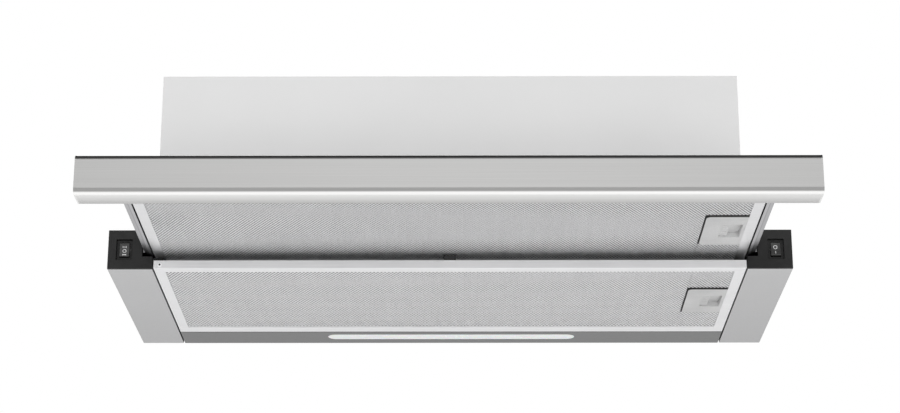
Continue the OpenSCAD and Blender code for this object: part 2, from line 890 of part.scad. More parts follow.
// One half-disc flap on the +Y side, with knuckles at the given stretches of pin.
module flap(knuckles) {
  start = knuckle_r + 0.4;
  difference() {
    union() {
      translate([0, 0, -flap_t / 2]) linear_extrude(flap_t) intersection() {
        circle(flap_r);
        translate([-flap_r + 7, start]) square([2 * flap_r - 14, flap_r]);
      }
      for (k = knuckles) {
        rod_x(k[0], k[1], knuckle_r);
        box([k[0], 0, -flap_t / 2], [k[1], start + 1, flap_t / 2]);
      }
    }
    rod_x(-flap_r, flap_r, flap_pin_r + pin_play);
  }
}

function flap_knuckles() = [[-46, -30], [4, 22]];

module flap_rear() {
  color("#4a4a4a") translate([0, spigot_y, flap_z]) flap(flap_knuckles());
}

module flap_front() {
  color("#4a4a4a") translate([0, spigot_y, flap_z]) rotate([0, 0, 180]) flap(flap_knuckles());
}

// ---- Drawer switch ----

module drawer_switch() {
  y1 = body_d - sheet_t;
  color("#303030") difference() {
    box([probe_x - 4, y1 - probe_d, probe_z - probe_h / 2],
        [probe_x + probe_w - 4, y1, probe_z + probe_h / 2]);
    translate([probe_x, 0, probe_z]) rod_y(y1 - probe_d - 1, y1 - 1, plunger_r + pin_play);
  }
}

module switch_plunger() {
  tip = rail_rear_y + stroke + probe_gap;
  color("firebrick") translate([probe_x, 0, probe_z])
    rod_y(tip, body_d - sheet_t - probe_d + 2.5, plunger_r);
}

module body_screws() {
  color("silver") {
    for (p = spigot_screws()) translate([p.x, p.y, box_top + flange_t]) screw();
    for (p = chassis_screws()) translate([p.x, p.y, foot_z + sheet_t]) screw_short();
    for (p = guide_screws()) translate([p.x, p.y, chassis_z - guide_t]) mirror([0, 0, 1]) screw_short();
  }
}

// The same screw in thin sheet, ending with the sheet that it holds.
module screw_short() {
  difference() {
    screw();
    translate([-5, -5, -screw_l - 1]) cube([10, 10, screw_l + 1 - 2 * sheet_t]);
  }
}

// ---- Drawer ----

// The bar's outline from the side, inset by w, in Y and Z.
module bar_outline(w) {
  y0 = bar_front_y + w;
  y1 = bar_back_y;
  z0 = bar_z + w;
  z1 = bar_z + bar_h - w;
  rl = max(bar_round_low - w, 0.3);
  rt = max(bar_round_top - w, 0.3);
  translate([y0 + rl, z0]) square([y1 - y0 - rl, z1 - z0 - rt]);
  translate([y0 + rt, z0 + rl]) square([y1 - y0 - rt, z1 - z0 - rl]);
  translate([y0, z0 + rl]) square([rl + rt, z1 - z0 - rl - rt]);
  translate([y0 + rl, z0 + rl]) circle(rl);
  translate([y0 + rt, z1 - rt]) circle(rt);
}

module front_bar() {
  hl = side_x - bar_cap_t;
  color("lightgray") difference() {
    along_x(-hl, hl) bar_outline(0);
    along_x(-hl - 1, hl + 1) bar_outline(bar_t);
    box([-hl - 1, bar_back_y - 1.5, bar_z + bar_t], [hl + 1, bar_back_y + 1, bar_z + bar_h - bar_t]);
  }
}

module bar_end_caps() {
  hl = side_x - bar_cap_t;
  color("lightgray") both_sides() {
    along_x(hl, side_x) bar_outline(0);
    difference() {
      along_x(hl - 6, hl + eps) bar_outline(bar_t + 0.1);
      along_x(hl - 7, hl) bar_outline(bar_t + 1.6);
      box([hl - 7, bar_back_y - bar_t - 0.2, 0], [hl, bar_back_y + 1, 60]);
    }
  }
}

function bar_screws() = [for (sx = [-1, 1], z = [rail_z + 4.6, rail_top - 4.6])
  [sx * (rail_in_x + rail_w / 2), z]];

module bar_back_plate() {
  hl = side_x - bar_cap_t - 0.2;
  color("silver") difference() {
    box([-hl, bar_back_y - bar_t, bar_z + bar_t], [hl, bar_back_y, bar_z + bar_h - bar_t]);
    for (p = bar_screws()) translate([p[0], 0, p[1]]) rod_y(bar_back_y - 3, bar_back_y + 1, bar_screw_r);
  }
}

module drawer_screws() {
  color("silver") for (p = bar_screws()) translate([p[0], 0, p[1]]) {
    rod_y(bar_back_y - bar_t - 2, bar_back_y - bar_t, 2.6);
    rod_y(bar_back_y - bar_t - eps, bar_back_y + rail_plate_t, bar_screw_r);
  }
}

// The rail's section: an inner foot, a step with a lip, a web and a top flange.
module rail_outline() {
  translate([rail_in_x, rail_z]) polygon([
    [0, 0], [rail_groove, 0], [rail_groove, rail_step], [rail_w, rail_step],
    [rail_w, rail_step + rail_lip_h], [rail_w - rail_t, rail_step + rail_lip_h],
    [rail_w - rail_t, rail_step + rail_t], [rail_t, rail_step + rail_t],
    [rail_t, rail_h - rail_t], [rail_w, rail_h - rail_t], [rail_w, rail_h], [0, rail_h]
  ]);
}

module drawer_rail() {
  difference() {
    union() {
      along_y(bar_back_y, rail_rear_y) rail_outline();
      box([rail_in_x, bar_back_y, rail_z], [rail_x, bar_back_y + rail_plate_t, rail_top]);
    }
    for (p = bar_screws())
      translate([p[0], 0, p[1]]) rod_y(bar_back_y - 1, bar_back_y + rail_plate_t + 1, bar_screw_r);
    children();
  }
}

function filter_tab_y() = [front_filter_y + 30, front_filter_y + front_filter_l - 46];

module drawer_rail_left() {
  color("silver") mirror([1, 0, 0]) drawer_rail()
    for (y = filter_tab_y())
      box([rail_in_x - 1, y - run_gap, filter_tab_z],
          [rail_in_x + rail_t + 1, y + filter_tab_l + run_gap, filter_tab_z + filter_tab_t + 0.4]);
}

module drawer_rail_right() {
  y0 = front_filter_y + front_latch_y - tongue_w / 2 - run_gap;
  z0 = front_filter_z + slide_z;
  color("silver") drawer_rail()
    box([rail_in_x - 1, y0, z0 - run_gap],
        [rail_in_x + rail_t + 1, y0 + tongue_w + 2 * run_gap, z0 + slide_t + run_gap]);
}

// Nylon blocks in the rail's channel, slotted for the guide's tongue.
module drawer_glides() {
  x0 = rail_in_x + rail_t;
  z0 = rail_z + rail_step + rail_t;
  z1 = rail_top - rail_t;
  color("whitesmoke") both_sides()
    for (y = [guide_y + stop_t + run_gap, rail_rear_y - glide_l]) difference() {
      union() {
        box([x0, y, z0], [rail_x - rail_t, y + glide_l, z1]);
        box([x0, y, rail_z + rail_step + rail_lip_h + 0.2],
            [rail_x + guide_gap - run_gap, y + glide_l, z1]);
      }
      box([x0 + 1.4 - run_gap, y - 1, tongue_z - run_gap],
          [rail_x + 3, y + glide_l + 1, tongue_z + tongue_t + run_gap]);
    }
}

module drawer_top_sheet() {
  y1 = front_filter_y + front_filter_l + 5;
  color("gainsboro") box([-rail_x, bar_back_y, rail_top], [rail_x, y1, rail_top + sheet_t]);
}

module drawer_rear_rail() {
  y0 = front_filter_y + front_filter_l + 0.3;
  color("dimgray") difference() {
    box([-rail_in_x, y0, rail_z], [rail_in_x, y0 + 4.7, rail_z + filter_t + 0.5]);
    box([-rail_in_x - 1, y0 + 1, rail_z + 1], [rail_in_x + 1, y0 + 5, rail_z + filter_t + 1]);
  }
}

// ---- Filters ----

// A folded aluminium frame with its lower outer edges rounded; its front left
// corner is at [-hw, 0, 0] and its latch is at yc.
module filter_frame(hw, l, side, front, back, yc) {
  t = filter_t;
  s = filter_sheet;
  difference() {
    intersection() {
      along_y(0, l) rounded_foot(-hw, hw, t, filter_round);
      along_x(-hw, hw) rounded_foot(0, l, t, filter_lip_round);
    }
    box([-(hw - s), s, s], [hw - s, l - s, t - s]);
    box([-(hw - side), front, -1], [hw - side, l - back, t / 2]);
    box([-(hw - top_flange), top_flange, t / 2], [hw - top_flange, l - top_flange, t + 1]);
    latch_slot(hw, yc);
  }
}

// A rectangle from a to b whose two lower corners are rounded.
module rounded_foot(a, b, h, r) {
  translate([a, r]) square([b - a, h - r]);
  translate([a + r, 0]) square([b - a - 2 * r, r + eps]);
  for (c = [a + r, b - r]) translate([c, r]) circle(r);
}

module latch_slot(hw, yc) {
  y0 = yc - tongue_w / 2 - run_gap;
  box([hw - 2 * filter_sheet, y0, slide_z - run_gap],
      [hw + 1, y0 + tongue_w + 2 * run_gap, slide_z + slide_t + run_gap]);
}

// The space that the latch plate and its slider take out of the mesh.
module latch_space(hw, side, yc) {
  box([hw - side - latch_w - 0.3, yc - latch_l / 2 - 0.3, -1],
      [hw + 1, yc + latch_l / 2 + 0.3, filter_t + 1]);
}

module filter_mesh(hw, l, side, front, back, yc) {
  difference() {
    box([-(hw - side + mesh_lap), front - mesh_lap, filter_sheet],
        [hw - side + mesh_lap, l - back + mesh_lap, filter_sheet + mesh_t]);
    latch_space(hw, side, yc);
  }
}

// Pleats of expanded grease mesh between the perforated sheet and the frame's top.
module filter_core(hw, l, side, front, back, yc) {
  z0 = filter_sheet + mesh_t;
  z1 = filter_t - filter_sheet - pleat_t;
  x1 = hw - side + core_lap;
  n = 2 * floor(2 * x1 / pleat_w);
  step = 2 * x1 / n;
  low = [for (i = [0 : n]) [i * step - x1, i % 2 == 0 ? z0 : z1]];
  high = [for (i = [n : -1 : 0]) [i * step - x1, (i % 2 == 0 ? z0 : z1) + pleat_t]];
  difference() {
    union() {
      along_y(front - core_lap, l - back + core_lap) polygon(concat(low, high));
      for (y = [front - core_lap, l - back + core_lap - 1])
        box([-x1, y, z0], [x1, y + 1, z1 + pleat_t]);
    }
    latch_space(hw, side, yc);
  }
}

// The moulded plate of the latch: a face with the finger well, walls and a back.
module latch_plate(hw, side, yc) {
  x1 = hw - side;
  x0 = x1 - latch_w;
  y0 = yc - latch_l / 2;
  z1 = filter_t - 0.2;
  difference() {
    translate([0, 0, latch_face]) linear_extrude(z1 - latch_face) union() {
      translate([x0 + latch_round, y0]) square([latch_w - latch_round, latch_l]);
      translate([x0, y0 + latch_round]) square([latch_w, latch_l - 2 * latch_round]);
      for (y = [y0 + latch_round, y0 + latch_l - latch_round])
        translate([x0 + latch_round, y]) circle(latch_round);
    }
    box([x0 + latch_wall, yc - well_l / 2, latch_face + latch_wall],
        [x1 - well_inset, yc + well_l / 2, filter_t - latch_wall]);
    box([x1 - well_inset - well_w, yc - well_l / 2, -1], [x1 - well_inset, yc + well_l / 2, 2]);
    box([x1 - well_inset - 1, yc - tongue_w / 2 - run_gap, slide_z - run_gap],
        [x1 + 1, yc + tongue_w / 2 + run_gap, slide_z + slide_t + run_gap]);
  }
}

// The sliding latch: a tongue, a wider plate over the well and a grip.
module latch_slider(hw, side, yc, wall_x) {
  x1 = hw - side;
  xw = x1 - well_inset - well_w;
  hl = well_l / 2 - run_gap;
  difference() {
    union() {
      box([xw - 1.5, yc - tongue_w / 2, slide_z],
          [wall_x + tongue_reach, yc + tongue_w / 2, slide_z + slide_t]);
      box([xw - 1.5, yc - hl, slide_z], [x1 - well_inset - run_gap, yc + hl, slide_z + slide_t]);
      box([xw + 0.3, yc - hl, grip_z], [xw + 0.3 + grip_w, yc + hl, slide_z + eps]);
    }
    for (dy = [-10 : 5 : 10])
      box([xw + 2, yc + dy - 0.5, grip_z - 1], [xw + grip_w - 1, yc + dy + 0.5, grip_z + 0.4]);
  }
}

// A compression spring along X from x0 to x1, one unbroken wire.
module spring(x0, x1, y, z) {
  rings = spring_turns * 8;
  sides = 6;
  coil = spring_r - spring_wire_r;
  pitch = (x1 - x0 - 2 * spring_wire_r) / rings;
  points = [for (i = [0 : rings], k = [0 : sides - 1])
    let (a = i * 45, b = k * 360 / sides, r = coil + spring_wire_r * cos(b))
    [x0 + spring_wire_r + i * pitch + spring_wire_r * sin(b), y + r * cos(a), z + r * sin(a)]];
  walls = [for (i = [0 : rings - 1], k = [0 : sides - 1], h = [0, 1])
    let (p = i * sides + k, q = i * sides + (k + 1) % sides)
    h == 0 ? [p, q, p + sides] : [q, q + sides, p + sides]];
  first = [for (k = [1 : sides - 2]) [0, k + 1, k]];
  end = rings * sides;
  last = [for (k = [1 : sides - 2]) [end, end + k, end + k + 1]];
  polyhedron(points, concat(walls, first, last), convexity = 10);
}

module latch_spring(hw, side, yc) {
  x0 = hw - side - latch_w + latch_wall;
  x1 = hw - side - well_inset - well_w - 1.5;
  spring(x0, x1, yc, (latch_face + filter_t) / 2);
}

module in_drawer() {
  translate([0, front_filter_y, front_filter_z]) children();
}

module front_filter_frame() {
  color("lightgray") in_drawer() {
    filter_frame(front_filter_hw, front_filter_l, front_border, front_border, front_border,
        front_latch_y);
    for (y = filter_tab_y()) translate([0, -front_filter_y, -front_filter_z])
      box([-front_filter_hw - filter_tab_reach, y, filter_tab_z],
          [-front_filter_hw + eps, y + filter_tab_l, filter_tab_z + filter_tab_t]);
  }
}

module front_filter_mesh() {
  color("silver") in_drawer()
    filter_mesh(front_filter_hw, front_filter_l, front_border, front_border, front_border,
        front_latch_y);
}

module front_filter_core() {
  color("gray") in_drawer()
    filter_core(front_filter_hw, front_filter_l, front_border, front_border, front_border,
        front_latch_y);
}

module front_latch_plate() {
  color("lightgray") in_drawer() latch_plate(front_filter_hw, front_border, front_latch_y);
}

module front_latch_slider() {
  color("gainsboro") in_drawer()
    latch_slider(front_filter_hw, front_border, front_latch_y, rail_in_x + rail_t);
}

module front_latch_spring() {
  color("silver") in_drawer() latch_spring(front_filter_hw, front_border, front_latch_y);
}

// Room for a fixed lug, from above and out to the left, while the filter swings.
module lug_notch(y0) {
  box([-rear_filter_hw - 1, y0 - lug_swing_gap, filter_sheet],
      [hinge_x + lug_r + lug_swing_gap, y0 + lug_t + lug_swing_gap, filter_t + 1]);
}

module rear_filter_frame() {
  color("lightgray") difference() {
    filter_frame(rear_filter_hw, rear_filter_l, rear_side_border, rear_front_border, rear_back_border,
        rear_latch_y);
    lug_notch(lug_y);
    lug_notch(rear_filter_l - lug_y - lug_t);
    translate([hinge_x, 0, hinge_z]) rod_y(-1, rear_filter_l + 1, hinge_pin_r);
  }
}

module rear_filter_mesh() {
  color("silver")
    filter_mesh(rear_filter_hw, rear_filter_l, rear_side_border, rear_front_border, rear_back_border,
        rear_latch_y);
}

module rear_filter_core() {
  color("gray")
    filter_core(rear_filter_hw, rear_filter_l, rear_side_border, rear_front_border, rear_back_border,
        rear_latch_y);
}

module rear_latch_plate() {
  color("lightgray") latch_plate(rear_filter_hw, rear_side_border, rear_latch_y);
}

module rear_latch_slider() {
  color("gainsboro")
    latch_slider(rear_filter_hw, rear_side_border, rear_latch_y, cover_x + sheet_t);
}

module rear_latch_spring() {
  color("silver") latch_spring(rear_filter_hw, rear_side_border, rear_latch_y);
}

module filter_hinge_pins() {
  end = lug_y + lug_t + 0.8;
  color("silver") translate([hinge_x, 0, hinge_z]) {
    difference() {
      union() {
        rod_y(-pin_head_t, 0, pin_head_r);
        rod_y(-eps, end, hinge_pin_r);
      }
      rod_y(-pin_head_t - 1, 0, hinge_pin_r / 2);
    }
    rod_y(rear_filter_l - end, rear_filter_l, hinge_pin_r);
  }
}

module glide_pad() {
  color("#222222") difference() {
    box([-pad_w / 2, 1, filter_t], [pad_w / 2, 1 + pad_d, front_filter_z - run_gap]);
    for (s = [-1, 1]) translate([s * pad_w / 2, 1, 0]) rotate([0, 0, 45])
      box([-0.8, -0.8, 0], [0.8, 0.8, 30]);
  }
}

place() motor_box();
place() chassis_frame();
place() side_cover_left();
place() side_cover_right();
place() switch_box_left();
place() switch_box_right();
place() speed_switch_body();
place() light_switch_body();
place() switch_tabs();
place() guide_rail_left();
place() guide_rail_right();
place() rear_panel();
place() light_lens();
place() led_board();
place() led_driver();
place() hinge_lugs();
place() fan_casing_left();
place() fan_casing_right();
place() motor_bracket();
place() motor_can();
place() motor_stator();
place() capacitor();
place() terminal_box();
place() terminal_box_lid();
place() cable_gland();
place() wiring_loom();
place() outlet_spigot();
place() flap_pin();
place() drawer_switch();
place() body_screws();
place() front_bar();
place() bar_end_caps();
place() bar_back_plate();
place() drawer_rail_left();
place() drawer_rail_right();
place() drawer_glides();
place() drawer_top_sheet();
place() drawer_rear_rail();
place() drawer_screws();
place() front_filter_frame();
place() front_filter_mesh();
place() front_filter_core();
place() front_latch_plate();
place() front_latch_spring();
place() front_latch_slider();
place() rear_filter_frame();
place() rear_filter_mesh();
place() rear_filter_core();
place() rear_latch_plate();
place() rear_latch_spring();
place() rear_latch_slider();
place() filter_hinge_pins();
place() glide_pad();
place() speed_rocker();
place() light_rocker();
place() impeller();
place() motor_rotor();
place() flap_front();
place() flap_rear();
place() switch_plunger();
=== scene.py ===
"""A pull out range hood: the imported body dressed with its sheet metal, filters and finishes."""

import json
from math import cos, pi, radians, sin, sqrt

import bmesh
import bpy
from mathutils import Matrix, Vector


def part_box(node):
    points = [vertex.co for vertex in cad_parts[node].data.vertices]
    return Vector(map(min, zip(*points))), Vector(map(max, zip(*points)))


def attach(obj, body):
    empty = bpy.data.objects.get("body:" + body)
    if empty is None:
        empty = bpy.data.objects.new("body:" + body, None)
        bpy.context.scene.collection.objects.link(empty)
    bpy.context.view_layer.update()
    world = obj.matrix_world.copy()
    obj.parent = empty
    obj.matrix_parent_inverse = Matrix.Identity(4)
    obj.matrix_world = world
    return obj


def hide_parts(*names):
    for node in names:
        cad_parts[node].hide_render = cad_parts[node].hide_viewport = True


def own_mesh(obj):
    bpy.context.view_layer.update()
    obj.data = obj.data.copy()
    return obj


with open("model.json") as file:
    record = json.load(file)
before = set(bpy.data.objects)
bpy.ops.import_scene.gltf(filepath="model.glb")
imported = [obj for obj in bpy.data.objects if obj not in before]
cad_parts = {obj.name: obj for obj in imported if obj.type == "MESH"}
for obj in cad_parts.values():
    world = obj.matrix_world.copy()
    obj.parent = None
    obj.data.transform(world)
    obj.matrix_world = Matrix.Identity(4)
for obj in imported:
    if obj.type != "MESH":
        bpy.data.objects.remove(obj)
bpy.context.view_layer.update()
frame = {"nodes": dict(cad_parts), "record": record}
scene = bpy.context.scene
record = frame["record"]
slot_of = {part["node"]: part["material_slot"] for part in record["subparts"]}
body_of = {node: body for body, group in record["behaviour"]["bodies"].items() for node in group}
pivot_of = {j["name"]: j["pos_m"] for j in record["behaviour"]["joints"] if "pos_m" in j}
MM = 0.001


# ---- Camera, light and surroundings ----

def set_camera():
    """The photograph's viewpoint: from in front and below, looking up at the underside."""
    lens = bpy.data.cameras.new("camera")
    lens.sensor_width = 36.0
    lens.lens = 88.85
    lens.clip_start = 0.05
    lens.clip_end = 50.0
    camera = bpy.data.objects.new("camera", lens)
    scene.collection.objects.link(camera)
    turn = (
        Matrix.Rotation(radians(0.362), 4, "Z")
        @ Matrix.Rotation(radians(90 + 19.421), 4, "X")
        @ Matrix.Rotation(radians(0.056), 4, "Z")
    )
    camera.matrix_world = Matrix.Translation((0.01178, -1.87033, -0.5925)) @ turn
    scene.camera = camera


def add_node(tree, kind, **values):
    """One shader node; each value is a number, a colour or another node's output."""
    node = tree.nodes.new("ShaderNode" + kind)
    for key, value in values.items():
        if hasattr(node, key):
            setattr(node, key, value)
            continue
        socket = node.inputs[int(key[1:])] if key[1:].isdigit() else node.inputs[key.replace("_", " ")]
        if isinstance(value, bpy.types.NodeSocket):
            tree.links.new(value, socket)
        else:
            socket.default_value = value
    return node


def either(tree, first, second):
    return add_node(tree, "Math", operation="MAXIMUM", i0=first, i1=second).outputs[0]


def level_ramp(tree, value, reach, stops, full):
    """Grey levels along a value that runs from -reach to reach, by places out of full."""
    along = add_node(tree, "MapRange", Value=value, From_Min=-reach, From_Max=reach)
    node = add_node(tree, "ValToRGB", Fac=along.outputs[0])
    set_stops(node, [((place / full + 1) / 2, level) for place, level in stops])
    return node.outputs[0]


def set_stops(ramp, stops):
    made = ramp.color_ramp.elements
    while len(made) < len(stops):
        made.new(0.5)
    for stop, (place, level) in zip(made, stops):
        stop.position = place
        stop.color = (level, level, level, 1)


def set_world():
    """White round about, dim overhead, and soft even light on everything that isn't a mirror."""
    world = bpy.data.worlds.new("studio")
    world.use_nodes = True
    scene.world = world
    tree = world.node_tree
    background = tree.nodes["Background"]
    direction = add_node(tree, "TexCoord").outputs["Generated"]
    axes = add_node(tree, "SeparateXYZ", i0=direction).outputs
    forward = add_node(tree, "Math", operation="MULTIPLY", i0=axes["Y"], i1=-1.0)
    raised = add_node(tree, "Math", operation="ARCTAN2", i0=axes["Z"], i1=forward.outputs[0])
    sky = level_ramp(tree, raised.outputs[0], pi, (
        (-180, 1.0), (-1, 0.66), (9, 0.66), (13, 1.12), (25, 1.12), (33, 0.34),
        (56, 0.08), (88, 0.02), (163, 0.02), (175, 0.6), (180, 1.0),
    ), 180)
    sideways = add_node(tree, "Math", operation="ABSOLUTE", i0=axes["X"]).outputs[0]
    middle = add_node(
        tree, "MapRange", Value=sideways, From_Min=0.0, From_Max=0.45, To_Min=1.3, To_Max=0.3
    )
    sky = add_node(tree, "Math", operation="MULTIPLY", i0=sky, i1=middle.outputs[0]).outputs[0]
    beside = add_node(tree, "MapRange", Value=sideways, From_Min=0.5, From_Max=0.9)
    sky = add_node(tree, "Mix", data_type="FLOAT", Factor=beside.outputs[0], A=sky, B=0.75).outputs[0]
    rays = add_node(tree, "LightPath").outputs
    mirrored = either(tree, rays["Is Glossy Ray"], rays["Is Transmission Ray"])
    soft = add_node(tree, "Mix", data_type="FLOAT", Factor=mirrored, A=0.72, B=sky)
    seen = add_node(tree, "Mix", data_type="FLOAT", Factor=rays["Is Camera Ray"], A=soft.outputs[0], B=1.0)
    background.inputs["Color"].default_value = (1, 1, 1, 1)
    tree.links.new(seen.outputs[0], background.inputs["Strength"])


def add_lamp(name, place, aim, size, power):
    light = bpy.data.lights.new(name, "AREA")
    light.shape = "RECTANGLE"
    light.size, light.size_y = size
    light.energy = power
    lamp = bpy.data.objects.new(name, light)
    scene.collection.objects.link(lamp)
    lamp.location = place
    lamp.rotation_euler = (Vector(aim) - Vector(place)).to_track_quat("-Z", "Y").to_euler()
    lamp.visible_glossy = False
    lamp.visible_camera = False


def add_floor():
    """A pale floor that only mirrors and soft light see, with its own brightness by depth."""
    bm = bmesh.new()
    bmesh.ops.create_grid(bm, x_segments=1, y_segments=1, size=8.0)
    bmesh.ops.translate(bm, vec=(0, 0, -1.0), verts=bm.verts)
    mesh = bpy.data.meshes.new("floor")
    bm.to_mesh(mesh)
    bm.free()
    floor = bpy.data.objects.new("floor", mesh)
    scene.collection.objects.link(floor)
    floor.visible_camera = False
    pale = bpy.data.materials.new("floor_pale")
    pale.use_nodes = True
    tree = pale.node_tree
    shader = tree.nodes["Principled BSDF"]
    shader.inputs["Base Color"].default_value = (0.86, 0.86, 0.86, 1)
    shader.inputs["Roughness"].default_value = 0.8
    rays = add_node(tree, "LightPath").outputs
    mirrored = either(tree, rays["Is Glossy Ray"], rays["Is Transmission Ray"])
    along = add_node(tree, "SeparateXYZ", i0=add_node(tree, "TexCoord").outputs["Object"])
    reach = 5.0
    glow = level_ramp(tree, along.outputs["Y"], reach, (
        (-5, 0.6), (-0.9, 0.6), (-0.4, 1.66), (0.3, 1.66), (0.9, 1.45),
        (2.6, 1.45), (3.0, 1.15), (3.3, 0.86), (3.6, 0.46), (5, 0.25),
    ), reach)
    white = add_node(tree, "Emission", Color=glow, Strength=1.0)
    mix = add_node(tree, "MixShader", i0=mirrored, i1=shader.outputs[0], i2=white.outputs[0])
    tree.links.new(mix.outputs[0], tree.nodes["Material Output"].inputs["Surface"])
    mesh.materials.append(pale)


# ---- Finishes ----

class Finish:
    """A material on its way: a Principled shader, and the patterns that feed it."""

    def __init__(self, name, colour, roughness, metallic=0.0):
        self.made = bpy.data.materials.new(name)
        self.made.use_nodes = True
        self.tree = self.made.node_tree
        self.shader = self.tree.nodes["Principled BSDF"]
        self.colour = (*colour, 1.0)
        self.tone = None
        self.normal = None
        self.shader.inputs["Base Color"].default_value = self.colour
        self.shader.inputs["Roughness"].default_value = roughness
        self.shader.inputs["Metallic"].default_value = metallic
        self.where = add_node(self.tree, "TexCoord").outputs["Object"]

    def set(self, **values):
        for key, value in values.items():
            self.shader.inputs[key.replace("_", " ")].default_value = value
        return self

    def scaled(self, size, turn=(0, 0, 0)):
        grain = (size, size, size) if isinstance(size, float) else size
        steps = tuple(1 / g for g in grain)
        return add_node(self.tree, "Mapping", Vector=self.where, Scale=steps, Rotation=turn).outputs[0]

    def noise(self, size, detail=2.0, distortion=0.0):
        node = add_node(
            self.tree, "TexNoise", Vector=self.scaled(size), Scale=1.0, Detail=detail, Distortion=distortion
        )
        return node.outputs[0]

    def cells(self, size):
        node = add_node(self.tree, "TexVoronoi", Vector=self.scaled(size), Scale=1.0)
        return add_node(self.tree, "SeparateColor", i0=node.outputs["Color"]).outputs[0]

    def waves(self, size, turn=(0, 0, 0)):
        node = add_node(
            self.tree, "TexWave", Vector=self.scaled(size, turn), Scale=pi / 10,
            wave_type="BANDS", bands_direction="X", wave_profile="SIN",
        )
        return node.outputs["Fac"]

    def ranged(self, pattern, low, high, start=0.3, end=0.7):
        node = add_node(
            self.tree, "MapRange", Value=pattern, From_Min=start, From_Max=end, To_Min=low, To_Max=high
        )
        return node.outputs[0]

    def shade(self, pattern, low, high, start=0.3, end=0.7):
        """Makes the colour darker or lighter by a pattern."""
        tone = self.ranged(pattern, low, high, start, end)
        if self.tone:
            tone = add_node(self.tree, "Math", operation="MULTIPLY", i0=self.tone, i1=tone).outputs[0]
        self.tone = tone
        return self

    def gloss(self, pattern, low, high, start=0.3, end=0.7):
        rough = self.ranged(pattern, low, high, start, end)
        self.tree.links.new(rough, self.shader.inputs["Roughness"])
        return self

    def relief(self, pattern, depth, strength=1.0):
        """Raises the surface by a pattern, to a depth in metres."""
        bump = add_node(self.tree, "Bump", Height=pattern, Distance=depth, Strength=strength)
        if self.normal:
            self.tree.links.new(self.normal, bump.inputs["Normal"])
        self.normal = bump.outputs[0]
        return self

    def done(self):
        if self.tone:
            mix = add_node(self.tree, "Mix", data_type="RGBA", blend_type="MULTIPLY")
            mix.inputs["Factor"].default_value = 1.0
            mix.inputs[6].default_value = self.colour
            self.tree.links.new(self.tone, mix.inputs[7])
            self.tree.links.new(mix.outputs[2], self.shader.inputs["Base Color"])
        if self.normal:
            self.tree.links.new(self.normal, self.shader.inputs["Normal"])
        return self.made


def powder_coat(name, level, gloss=0.42):
    """Satin powder coat with a faint orange peel and slow clouds of tone."""
    coat = Finish(name, (level, level, level), gloss)
    coat.shade(coat.noise(0.12), 0.985, 1.015)
    coat.shade(coat.noise(0.0006), 0.985, 1.015)
    coat.gloss(coat.noise(0.05, 3.0), gloss - 0.05, gloss + 0.06)
    coat.relief(coat.noise(0.0016, 1.0), 0.00005, 0.5)
    return coat.done()


def silver_paint(name, level, metallic, gloss):
    """Metallic paint: fine bright flakes in a satin coat."""
    paint = Finish(name, (level, level, level * 1.01), gloss, metallic)
    paint.shade(paint.cells(0.0004), 0.96, 1.04, 0.0, 1.0)
    paint.shade(paint.noise(0.08), 0.985, 1.015)
    paint.gloss(paint.noise(0.004, 3.0), gloss - 0.01, gloss + 0.03)
    paint.relief(paint.noise(0.0018, 1.0), 0.00003, 0.4)
    return paint.done()


def grained_plastic(name, colour, gloss, grain=0.0007, depth=0.00006):
    """Moulded plastic with the spark-eroded grain of its mould."""
    plastic = Finish(name, colour, gloss)
    plastic.shade(plastic.noise(0.03), 0.93, 1.07)
    plastic.shade(plastic.noise(grain * 0.7), 0.9, 1.1)
    plastic.gloss(plastic.noise(0.006, 3.0), gloss - 0.06, gloss + 0.06)
    plastic.relief(plastic.noise(grain, 2.0), depth, 0.6)
    return plastic.done()


def brushed_steel():
    """Stainless sheet, brushed along the bar."""
    steel = Finish("bar_steel_brushed", (0.62, 0.618, 0.612), 0.29, 1.0)
    fine = steel.noise((0.16, 0.00035, 0.00035), 3.0)
    broad = steel.noise((0.5, 0.0030, 0.0030), 2.0)
    steel.shade(fine, 0.95, 1.05)
    steel.shade(broad, 0.98, 1.02)
    steel.gloss(fine, 0.28, 0.31)
    steel.relief(fine, 0.00001, 0.3)
    steel.set(Anisotropic=0.75, Anisotropic_Rotation=0.25)
    around = add_node(steel.tree, "Tangent", direction_type="RADIAL", axis="X")
    steel.tree.links.new(around.outputs[0], steel.shader.inputs["Tangent"])
    return steel.done()


def zinc_sheet():
    """Zinc plated steel sheet with faint spangle and rolling marks."""
    zinc = Finish("sheet_steel_zinc", (0.58, 0.59, 0.60), 0.38, 1.0)
    zinc.shade(zinc.cells(0.006), 0.9, 1.08, 0.0, 1.0)
    zinc.shade(zinc.noise((0.12, 0.0009, 0.0009), 2.0), 0.95, 1.05)
    zinc.gloss(zinc.cells(0.006), 0.32, 0.46, 0.0, 1.0)
    zinc.relief(zinc.noise(0.0012), 0.00002, 0.4)
    return zinc.done()


def bright_steel():
    """Turned and plated small parts."""
    steel = Finish("small_steel_plated", (0.66, 0.66, 0.67), 0.26, 1.0)
    steel.shade(steel.noise(0.0012, 3.0), 0.9, 1.06)
    steel.gloss(steel.noise(0.0006, 2.0), 0.2, 0.36)
    steel.relief(steel.noise(0.0004), 0.00001, 0.4)
    return steel.done()


